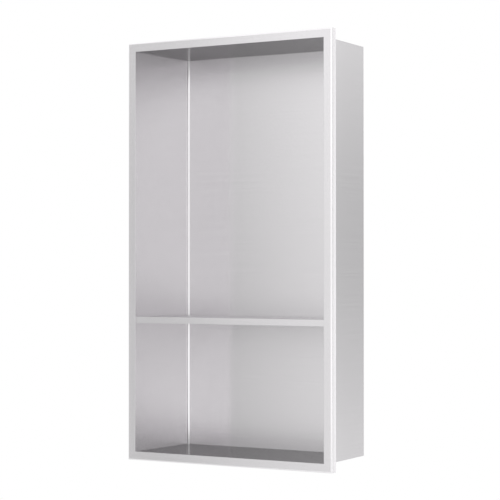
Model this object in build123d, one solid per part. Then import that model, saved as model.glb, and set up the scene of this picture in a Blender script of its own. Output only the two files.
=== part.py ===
"""Shower niche insert: a folded, mitre-welded stainless tub with a flange frame and one welded shelf.

Millimetres, +Z up. The origin is the centre of the plane in which the rim sits on the tiled wall;
+Y runs into the wall and the opening faces -Y.
"""
import os

from build123d import *

os.makedirs("parts", exist_ok=True)

# Clear opening at the front, side to side and floor to ceiling
OPENING_WIDTH = 272.0
OPENING_HEIGHT = 508.0

# Sheet gauge, and the inside radius of the folds: the frame and the shelf are grooved before folding,
# which leaves crisp edges, and the back is folded plain
SHEET = 1.2
EDGE_BEND = 0.3
BACK_BEND = 1.5

# Frame round the opening: width of its face, and how far the face stands off the tile
FLANGE_WIDTH = 11.0
RIM_RETURN = 10.5

# Tub behind the tile face, from the rim's seat to the outside of the back
BODY_DEPTH = 106.0

# How far each side wall leans in between the opening and the back; floor and ceiling are square
SIDE_TAPER = 5.5

# Shelf: top above the tub floor, front lip, safe edge folded back under the lip
SHELF_HEIGHT = 171.0
SHELF_LIP = 8.0
SHELF_HEM = 9.0

# Fit-up gap between the shelf and the tub before welding
WELD_GAP = 0.1

half_width = OPENING_WIDTH / 2
half_height = OPENING_HEIGHT / 2
back_half_width = half_width - SIDE_TAPER
mid_sheet = SHEET / 2
mid_edge_bend = EDGE_BEND + mid_sheet
mid_back_bend = BACK_BEND + mid_sheet
front_y = -RIM_RETURN
back_inside_y = BODY_DEPTH - SHEET

# The side walls lean between the end of the frame's fold and the start of the back's fold
lean_start_y = front_y + 2 * SHEET
lean_end_y = back_inside_y - 2 * BACK_BEND

# Frame section, as the centreline of the folded sheet: mouth of the tub, flange face, rim.
# Local X runs outward from the inner face of the wall, local Y into the wall of the room.
frame_line = FilletPolyline(
    (mid_sheet, lean_start_y),
    (mid_sheet, front_y + mid_sheet),
    (FLANGE_WIDTH - mid_sheet, front_y + mid_sheet),
    (FLANGE_WIDTH - mid_sheet, 0),
    radius=mid_edge_bend,
)
frame_section = trace(frame_line, SHEET)

# Fold of the back in the same way: edge of the back, end of the wall
back_line = FilletPolyline(
    (-3 * mid_back_bend, BODY_DEPTH - mid_sheet),
    (mid_sheet, BODY_DEPTH - mid_sheet),
    (mid_sheet, lean_end_y),
    radius=mid_back_bend,
)
back_section = trace(back_line, SHEET)


def mitred_side(section, half_length, offset):
    """One side of a folded ring in the top position: the section run along it and mitred at both ends."""
    middle = Plane(origin=(0, 0, offset), x_dir=(0, 0, 1), z_dir=(-1, 0, 0))
    strip = extrude(middle * section, amount=half_length + FLANGE_WIDTH, both=True)
    for end in (-1, 1):
        mitre = Plane(origin=(end * half_length, 0, offset), z_dir=(-end, 0, 1))
        strip = split(strip, bisect_by=mitre, keep=Keep.TOP)
    return strip


def folded_ring(section, ring_half_width):
    """The section run round the tub's four sides."""
    top = mitred_side(section, ring_half_width, half_height)
    right = Rot(0, 90, 0) * mitred_side(section, half_height, ring_half_width)
    return top + mirror(top, about=Plane.XY) + right + mirror(right, about=Plane.YZ)


def wall_block(thickness, height):
    """Block between the two folds whose sides follow the outside of side walls of this thickness."""
    front_x = half_width + thickness
    back_x = back_half_width + thickness
    plan = Polyline(
        (-front_x, lean_start_y),
        (front_x, lean_start_y),
        (back_x, lean_end_y),
        (-back_x, lean_end_y),
        close=True,
    )
    return extrude(make_face(plan), amount=height, both=True)


# Tub: frame, four walls, back folds and the flat of the back inside them
frame = folded_ring(frame_section, half_width)
walls = wall_block(SHEET, half_height + SHEET) - wall_block(0, half_height)
back_folds = folded_ring(back_section, back_half_width)
back_flat = Pos(0, BODY_DEPTH - mid_sheet, 0) * Box(
    2 * back_half_width - 2 * BACK_BEND,
    SHEET,
    OPENING_HEIGHT - 2 * BACK_BEND,
)
niche_body = walls + frame + (back_folds + back_flat)

# Shelf section, as the centreline of its sheet: top, front lip, safe edge
shelf_top_z = SHELF_HEIGHT - half_height
shelf_front_y = front_y + EDGE_BEND + SHEET
shelf_back_y = back_inside_y - WELD_GAP
shelf_line = FilletPolyline(
    (shelf_back_y, shelf_top_z - mid_sheet),
    (shelf_front_y + mid_sheet, shelf_top_z - mid_sheet),
    (shelf_front_y + mid_sheet, shelf_top_z - SHELF_LIP + mid_sheet),
    (shelf_front_y + SHELF_HEM, shelf_top_z - SHELF_LIP + mid_sheet),
    radius=mid_edge_bend,
)
shelf_section = Plane.YZ * trace(shelf_line, SHEET)

# Plan of the shelf: its ends follow the side walls at the fit-up gap
shelf_front_x = half_width - WELD_GAP
shelf_back_x = back_half_width - WELD_GAP
right_end = [
    (shelf_front_x, front_y),
    (shelf_front_x, lean_start_y),
    (shelf_back_x, lean_end_y),
    (shelf_back_x, back_inside_y),
]
left_end = [(-x, y) for x, y in reversed(right_end)]
shelf_plan = make_face(Polyline(*right_end, *left_end, close=True))
shelf = extrude(shelf_section, amount=half_width, both=True) & extrude(shelf_plan, amount=half_height, both=True)

# The shelf's back corners are rounded to clear the folds between the tub's back and sides
back_corners = shelf.edges().filter_by(Axis.Z).group_by(Axis.Y)[-1]
shelf = fillet(back_corners, radius=BACK_BEND)

export_step(niche_body, "parts/niche_body.step")
export_step(shelf, "parts/shelf.step")
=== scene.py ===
import math

import bmesh
import bpy
from mathutils import Matrix, Vector


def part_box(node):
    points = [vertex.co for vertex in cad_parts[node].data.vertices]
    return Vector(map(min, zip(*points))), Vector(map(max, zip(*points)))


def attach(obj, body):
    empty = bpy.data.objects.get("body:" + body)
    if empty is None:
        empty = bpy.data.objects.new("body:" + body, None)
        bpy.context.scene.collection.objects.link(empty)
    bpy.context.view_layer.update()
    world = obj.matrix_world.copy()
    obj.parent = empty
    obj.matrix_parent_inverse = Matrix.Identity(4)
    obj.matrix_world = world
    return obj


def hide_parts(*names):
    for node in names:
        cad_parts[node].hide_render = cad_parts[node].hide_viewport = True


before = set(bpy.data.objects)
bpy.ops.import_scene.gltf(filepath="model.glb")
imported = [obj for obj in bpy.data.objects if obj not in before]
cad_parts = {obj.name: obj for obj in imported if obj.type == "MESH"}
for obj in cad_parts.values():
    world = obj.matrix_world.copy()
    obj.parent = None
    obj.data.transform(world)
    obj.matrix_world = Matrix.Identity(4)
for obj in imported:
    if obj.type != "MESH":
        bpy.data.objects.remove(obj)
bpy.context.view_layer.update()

# Tub: one blank of stainless sheet, folded on a press brake into a back, four walls, the flange frame
# round the opening and the rim that stands it off the tile. The side walls lean in a little to the back.
# Seams and mitres are welded and ground flush. The folds of the rim and the back's sides get a lighter
# steel colour, a painted highlight.
SHEET = 0.0012
FRAME_FACE = 0.011
SIDE_TAPER = 0.0055
BACK_FOLD = 0.0028
MOUTH_FOLD = 0.0003
RIM_FOLD = 0.0016
FOLD_STEPS = 6
SEAM_ANGLE = math.radians(35)

tub_low, tub_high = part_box("niche_body")
HALF_WIDTH = tub_high.x - FRAME_FACE
BACK_HALF_WIDTH = HALF_WIDTH - SIDE_TAPER
HALF_HEIGHT = tub_high.z - FRAME_FACE
FRAME_FRONT = tub_low.y
RIM_SEAT = 0.0
BACK_INSIDE = tub_high.y - SHEET

STEEL = (0.79, 0.775, 0.79)
# Lighter steel for the folds of the rim and the back's sides: a painted highlight.
HIGHLIGHT_STEEL = (0.98, 0.965, 0.98)
UPRIGHT, SHADED_LEVEL, PAINTED_HIGHLIGHT = range(3)


def next_ring(mesh, ring):
    """Draws the sheet's free edge out into a new strip, and gives the strip's corners and free edge."""
    drawn = bmesh.ops.extrude_edge_only(mesh, edges=ring)["geom"]
    corners = [item for item in drawn if isinstance(item, bmesh.types.BMVert)]
    edges = [item for item in drawn if isinstance(item, bmesh.types.BMEdge)]
    return corners, [edge for edge in edges if all(vert in corners for vert in edge.verts)]


def fold(mesh, edges, radius):
    """Rounds sharp edges to the radius that the press brake leaves, and gives the faces of the folds."""
    rounded = bmesh.ops.bevel(mesh, geom=edges, offset=radius, offset_type="OFFSET", segments=FOLD_STEPS,
                              profile=0.5, affect="EDGES", material=-1, clamp_overlap=False)
    return rounded["faces"]


def is_level(face):
    """Tells a floor, ceiling or shelf top from a wall."""
    return abs(face.normal.z) > 0.75


def brush(mesh):
    """Lays the grain map on each face, in metres: V along the brushing, which is level, and U across it."""
    grain = mesh.loops.layers.uv.new("grain")
    for face in mesh.faces:
        run = Vector((1, 0, 0)) if is_level(face) else Vector((0, 0, 1)).cross(face.normal).normalized()
        across = face.normal.cross(run)
        for loop in face.loops:
            loop[grain].uv = (loop.vert.co.dot(across), loop.vert.co.dot(run))


def sheet_piece(name, mesh, materials):
    """Makes the folded surface a sheet of real thickness, smooth over its folds and crisp at its seams."""
    for face in mesh.faces:
        face.smooth = True
    for edge in mesh.edges:
        edge.smooth = len(edge.link_faces) == 2 and edge.calc_face_angle() < SEAM_ANGLE
    data = bpy.data.meshes.new(name)
    mesh.to_mesh(data)
    mesh.free()
    piece = bpy.data.objects.new(name, data)
    bpy.context.scene.collection.objects.link(piece)
    for material in materials:
        data.materials.append(material)
    gauge = piece.modifiers.new("gauge", "SOLIDIFY")
    gauge.thickness = SHEET
    gauge.offset = -1
    gauge.use_even_offset = True
    flats = piece.modifiers.new("flats", "WEIGHTED_NORMAL")
    flats.keep_sharp = True
    flats.weight = 100
    return piece


tub = bmesh.new()
bmesh.ops.create_grid(tub, x_segments=1, y_segments=1, size=1.0,
                      matrix=Matrix.Rotation(math.radians(90), 4, "X"))
bmesh.ops.scale(tub, vec=(BACK_HALF_WIDTH, 1, HALF_HEIGHT), verts=tub.verts)
bmesh.ops.translate(tub, vec=(0, BACK_INSIDE, 0), verts=tub.verts)
back_ring = list(tub.edges)

corners, mouth_ring = next_ring(tub, back_ring)
bmesh.ops.translate(tub, vec=(0, FRAME_FRONT - BACK_INSIDE, 0), verts=corners)
bmesh.ops.scale(tub, vec=(HALF_WIDTH / BACK_HALF_WIDTH, 1, 1), verts=corners)

corners, frame_ring = next_ring(tub, mouth_ring)
bmesh.ops.scale(tub, vec=(1 + FRAME_FACE / HALF_WIDTH, 1, 1 + FRAME_FACE / HALF_HEIGHT), verts=corners)

corners, _ = next_ring(tub, frame_ring)
bmesh.ops.translate(tub, vec=(0, RIM_SEAT - FRAME_FRONT, 0), verts=corners)
bmesh.ops.recalc_face_normals(tub, faces=tub.faces)
if max(tub.faces, key=lambda face: face.calc_area()).normal.y > 0:
    bmesh.ops.reverse_faces(tub, faces=tub.faces)

back_sides = [edge for edge in back_ring if edge.verts[0].co.x == edge.verts[1].co.x]
highlighted_folds = fold(tub, back_sides, BACK_FOLD) + fold(tub, frame_ring, RIM_FOLD)
fold(tub, mouth_ring, MOUTH_FOLD)
brush(tub)
# Ceilings and floors take a darker copy of the steel, which paints shade onto them.
for face in tub.faces:
    face.material_index = SHADED_LEVEL if is_level(face) else UPRIGHT
# The folds take the lighter steel, which paints a highlight along them.
for face in highlighted_folds:
    face.material_index = PAINTED_HIGHLIGHT

grain_group = bpy.data.node_groups.new("brushed_grain", "ShaderNodeTree")
grain_group.interface.new_socket("Steel", in_out="INPUT", socket_type="NodeSocketColor")
grain_group.interface.new_socket("Satin", in_out="INPUT", socket_type="NodeSocketFloat")
grain_group.interface.new_socket("Tone", in_out="OUTPUT", socket_type="NodeSocketColor")
grain_group.interface.new_socket("Roughness", in_out="OUTPUT", socket_type="NodeSocketFloat")
grain_group.interface.new_socket("Height", in_out="OUTPUT", socket_type="NodeSocketFloat")
nodes, links = grain_group.nodes, grain_group.links
group_in = nodes.new("NodeGroupInput")
group_out = nodes.new("NodeGroupOutput")
grain_map = nodes.new("ShaderNodeUVMap")
grain_map.uv_map = "grain"


def streaks(across_per_m, along_per_m, detail):
    """Noise drawn out along the brushing, with that many marks to the metre each way."""
    stretch = nodes.new("ShaderNodeMapping")
    stretch.inputs["Scale"].default_value = (across_per_m, along_per_m, 1)
    links.new(grain_map.outputs["UV"], stretch.inputs["Vector"])
    noise = nodes.new("ShaderNodeTexNoise")
    noise.noise_dimensions = "2D"
    noise.inputs["Scale"].default_value = 1.0
    noise.inputs["Detail"].default_value = detail
    links.new(stretch.outputs["Vector"], noise.inputs["Vector"])
    return noise.outputs["Fac"]


def spread(value, low, high):
    """Maps a noise value, most of which lies between a quarter and three quarters, to a range."""
    ramp = nodes.new("ShaderNodeMapRange")
    ramp.inputs["From Min"].default_value = 0.25
    ramp.inputs["From Max"].default_value = 0.75
    ramp.inputs["To Min"].default_value = low
    ramp.inputs["To Max"].default_value = high
    links.new(value, ramp.inputs["Value"])
    return ramp.outputs["Result"]


def multiply(first, second):
    """Multiplies two values."""
    node = nodes.new("ShaderNodeMath")
    node.operation = "MULTIPLY"
    links.new(first, node.inputs[0])
    links.new(second, node.inputs[1])
    return node.outputs["Value"]


fine = streaks(across_per_m=2600, along_per_m=7, detail=1)
broad = streaks(across_per_m=420, along_per_m=0.9, detail=2)
tone = nodes.new("ShaderNodeMix")
tone.data_type = "RGBA"
tone.blend_type = "MULTIPLY"
tone.inputs["Factor"].default_value = 1.0
links.new(group_in.outputs["Steel"], tone.inputs["A"])
links.new(multiply(spread(fine, 0.98, 1.02), spread(broad, 0.99, 1.01)), tone.inputs["B"])
links.new(tone.outputs["Result"], group_out.inputs["Tone"])
satin_share = multiply(spread(fine, 0.97, 1.03), spread(broad, 0.98, 1.02))
links.new(multiply(group_in.outputs["Satin"], satin_share), group_out.inputs["Roughness"])
links.new(fine, group_out.inputs["Height"])


def brushed_steel(name, steel=STEEL, satin=0.21, edge=0.8):
    """Stainless with the shared grain, smeared across the brushing.

    Satin is its roughness, and edge the share that it still mirrors at a low angle; a low edge paints shade
    onto faces seen edge on.
    """
    material = bpy.data.materials.new(name)
    material.use_nodes = True
    tree = material.node_tree
    shader = tree.nodes["Principled BSDF"]
    shader.inputs["Metallic"].default_value = 1.0
    shader.inputs["Anisotropic"].default_value = 1.0
    shader.inputs["Specular Tint"].default_value = (edge, edge, edge, 1)
    grain = tree.nodes.new("ShaderNodeGroup")
    grain.node_tree = grain_group
    grain.inputs["Steel"].default_value = (*steel, 1)
    grain.inputs["Satin"].default_value = satin
    tree.links.new(grain.outputs["Tone"], shader.inputs["Base Color"])
    tree.links.new(grain.outputs["Roughness"], shader.inputs["Roughness"])
    across = tree.nodes.new("ShaderNodeTangent")
    across.direction_type = "UV_MAP"
    across.uv_map = "grain"
    tree.links.new(across.outputs["Tangent"], shader.inputs["Tangent"])
    relief = tree.nodes.new("ShaderNodeBump")
    relief.inputs["Strength"].default_value = 0.008
    relief.inputs["Distance"].default_value = 0.0001
    tree.links.new(grain.outputs["Height"], relief.inputs["Height"])
    tree.links.new(relief.outputs["Normal"], shader.inputs["Normal"])
    return material


# The level faces' steel keeps less of its mirror at a low angle than the walls' steel: painted shade on the
# ceiling and floor.
tub_finishes = (
    brushed_steel("tub_upright_steel"),
    brushed_steel("tub_level_steel_painted_shade", satin=0.10, edge=0.39),
    brushed_steel("tub_fold_painted_highlight", HIGHLIGHT_STEEL, satin=0.12, edge=1.0),
)
tub_piece = sheet_piece("niche_tub", tub, tub_finishes)
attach(tub_piece, "root")
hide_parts("niche_body")

# Shelf: one strip of the same sheet, with a lip folded down at the front and a safe edge folded back
# under it. It is welded to the tub's sides and back. Its back corners are rounded to clear the folds.
SHELF_HEM = 0.009
WELD_GAP = 0.0001
CORNER_STEPS = 4

shelf_low, shelf_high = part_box("shelf")
SHELF_TOP = shelf_high.z
SHELF_LIP = shelf_high.z - shelf_low.z
SHELF_FRONT = shelf_low.y
SHELF_DEPTH = shelf_high.y - shelf_low.y
SHELF_FRONT_HALF = HALF_WIDTH - 2 * WELD_GAP
SHELF_BACK_HALF = BACK_HALF_WIDTH - WELD_GAP

shelf = bmesh.new()
bmesh.ops.create_grid(shelf, x_segments=1, y_segments=1, size=1.0)
bmesh.ops.scale(shelf, vec=(SHELF_FRONT_HALF, SHELF_DEPTH / 2, 1), verts=shelf.verts)
bmesh.ops.translate(shelf, vec=(0, SHELF_FRONT + SHELF_DEPTH / 2, SHELF_TOP), verts=shelf.verts)
front_edge = [edge for edge in shelf.edges if all(vert.co.y < 0 for vert in edge.verts)]
back_corners = [vert for vert in shelf.verts if vert.co.y > 0]
bmesh.ops.scale(shelf, vec=(SHELF_BACK_HALF / SHELF_FRONT_HALF, 1, 1), verts=back_corners)

corners, lip_edge = next_ring(shelf, front_edge)
bmesh.ops.translate(shelf, vec=(0, 0, -SHELF_LIP), verts=corners)
corners, _ = next_ring(shelf, lip_edge)
bmesh.ops.translate(shelf, vec=(0, SHELF_HEM, 0), verts=corners)
bmesh.ops.recalc_face_normals(shelf, faces=shelf.faces)
if max(shelf.faces, key=lambda face: face.calc_area()).normal.z < 0:
    bmesh.ops.reverse_faces(shelf, faces=shelf.faces)
bmesh.ops.bevel(shelf, geom=back_corners, offset=BACK_FOLD, offset_type="OFFSET", segments=CORNER_STEPS,
                profile=0.5, affect="VERTICES", material=-1)
fold(shelf, front_edge + lip_edge, MOUTH_FOLD)
brush(shelf)

shelf_piece = sheet_piece("niche_shelf", shelf, [brushed_steel("shelf_steel")])
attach(shelf_piece, "root")
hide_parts("shelf")

# Studio: a white room, which the steel mirrors, with soft cards to the left, in front, beside the
# camera and behind, and a narrow light behind on the right that brightens the side of the rim.
# Only the steel's mirror image shows them: they light nothing else, and the camera sees none of them.
CARD_HEIGHT = 3.0
CARD_DISTANCE = 1.5

scene = bpy.context.scene
scene.view_settings.view_transform = "Standard"
world = bpy.data.worlds.new("white_room")
world.use_nodes = True
scene.world = world
room = world.node_tree.nodes["Background"]
room.inputs["Color"].default_value = (1, 1, 1, 1)
room.inputs["Strength"].default_value = 1.0


def studio_card(name, azimuth, width, heights, sides=(1.0, 1.0), distance=CARD_DISTANCE):
    """A card round the niche, by its turn from the niche's front towards its right.

    Heights are its glow from bottom to top, and sides the share of it from left to right.
    """
    turn = math.radians(azimuth)
    outward = Vector((math.sin(turn), -math.cos(turn), 0))
    card = bmesh.new()
    card.loops.layers.uv.new("card")
    bmesh.ops.create_grid(card, x_segments=1, y_segments=1, size=0.5, calc_uvs=True)
    bmesh.ops.scale(card, vec=(width, CARD_HEIGHT, 1), verts=card.verts)
    bmesh.ops.rotate(card, matrix=(-outward).to_track_quat("Z", "Y").to_matrix(), verts=card.verts)
    bmesh.ops.translate(card, vec=outward * distance, verts=card.verts)
    data = bpy.data.meshes.new(name)
    card.to_mesh(data)
    card.free()
    piece = bpy.data.objects.new(name, data)
    scene.collection.objects.link(piece)
    paint = bpy.data.materials.new(name)
    paint.use_nodes = True
    tree = paint.node_tree
    tree.nodes.remove(tree.nodes["Principled BSDF"])
    spot = tree.nodes.new("ShaderNodeUVMap")
    spot.uv_map = "card"
    split = tree.nodes.new("ShaderNodeSeparateXYZ")
    tree.links.new(spot.outputs["UV"], split.inputs["Vector"])
    glow = tree.nodes.new("ShaderNodeEmission")
    for axis, levels, socket in (("Y", heights, "Color"), ("X", sides[::-1], "Strength")):
        ramp = tree.nodes.new("ShaderNodeValToRGB")
        ramp.color_ramp.interpolation = "B_SPLINE"
        stops = ramp.color_ramp.elements
        while len(stops) < len(levels):
            stops.new(0.5)
        for index, level in enumerate(levels):
            share = level / max(levels)
            stops[index].position = index / (len(levels) - 1)
            stops[index].color = (share, share, share, 1)
        tree.links.new(split.outputs[axis], ramp.inputs["Fac"])
        boost = tree.nodes.new("ShaderNodeVectorMath")
        boost.operation = "SCALE"
        boost.inputs["Scale"].default_value = max(levels)
        tree.links.new(ramp.outputs["Color"], boost.inputs["Vector"])
        tree.links.new(boost.outputs["Vector"], glow.inputs[socket])
    tree.links.new(glow.outputs["Emission"], tree.nodes["Material Output"].inputs["Surface"])
    data.materials.append(paint)
    piece.visible_camera = False
    piece.visible_diffuse = False
    piece.visible_shadow = False


studio_card("far_left_card", azimuth=-53, width=0.66,
            heights=(0.6, 0.6, 0.66, 0.74, 0.78, 0.66, 0.56, 0.62, 0.74, 0.78, 0.7, 0.65, 0.6))
studio_card("left_card", azimuth=-31, width=0.48,
            heights=(0.6, 0.65, 0.72, 0.82, 0.90, 0.95, 0.80, 0.98, 1.20, 1.22, 1.0, 0.85, 0.7),
            sides=(0.70, 0.72, 0.78, 0.85, 0.92, 0.97, 1.01, 1.03))
studio_card("front_card", azimuth=-1.5, width=0.76,
            heights=(0.8, 0.85, 0.9, 0.95, 1.0, 1.02, 1.05, 1.05, 1.05, 1.0, 0.95, 0.9, 0.8))
studio_card("camera_card", azimuth=30, width=0.88,
            heights=(0.9, 0.9, 1.05, 1.2, 1.25, 1.2, 0.75, 0.66, 1.30, 1.55, 1.4, 1.1, 0.9))
studio_card("rear_card", azimuth=150, width=1.3,
            heights=(0.9, 0.9, 0.9, 0.94, 0.90, 0.74, 0.49, 0.65, 0.92, 1.0, 1.0, 1.0, 1.0),
            sides=(0.76, 0.86, 0.98, 1.09, 1.20))
studio_card("rim_light", azimuth=148.5, width=0.11, heights=(1.5, 1.5), distance=CARD_DISTANCE - 0.05)

# Floor: plain pale paint, far enough below the niche to stay out of the picture. The paint is dull,
# so that it shows no mirror image of the cards.
FLOOR_REACH = 2.0
FLOOR_LEVEL = -0.75
FLOOR_PAINT = (0.8, 0.8, 0.8)

floor = bmesh.new()
bmesh.ops.create_grid(floor, x_segments=1, y_segments=1, size=FLOOR_REACH)
bmesh.ops.translate(floor, vec=(0, 0, FLOOR_LEVEL), verts=floor.verts)
floor_data = bpy.data.meshes.new("floor")
floor.to_mesh(floor_data)
floor.free()
floor_paint = bpy.data.materials.new("floor_paint")
floor_paint.use_nodes = True
floor_shader = floor_paint.node_tree.nodes["Principled BSDF"]
floor_shader.inputs["Base Color"].default_value = (*FLOOR_PAINT, 1)
floor_shader.inputs["Specular IOR Level"].default_value = 0
floor_data.materials.append(floor_paint)
floor_piece = bpy.data.objects.new("floor", floor_data)
scene.collection.objects.link(floor_piece)

# Camera: at the niche's right, almost level with its middle, as in the photograph, with a long lens.
# It looks up by less than a degree, so the upright edges stay upright.
CAMERA_PLACE = (1.1047, -1.8031, -0.0228)
CAMERA_TURN = math.radians(30.850)
CAMERA_RISE = math.radians(0.647)
LENS = 123.141

camera = bpy.data.cameras.new("camera")
camera.sensor_width = 36
camera.lens = LENS
camera_object = bpy.data.objects.new("camera", camera)
camera_object.location = CAMERA_PLACE
camera_object.rotation_euler = (math.radians(90) + CAMERA_RISE, 0, CAMERA_TURN)
scene.collection.objects.link(camera_object)
scene.camera = camera_object
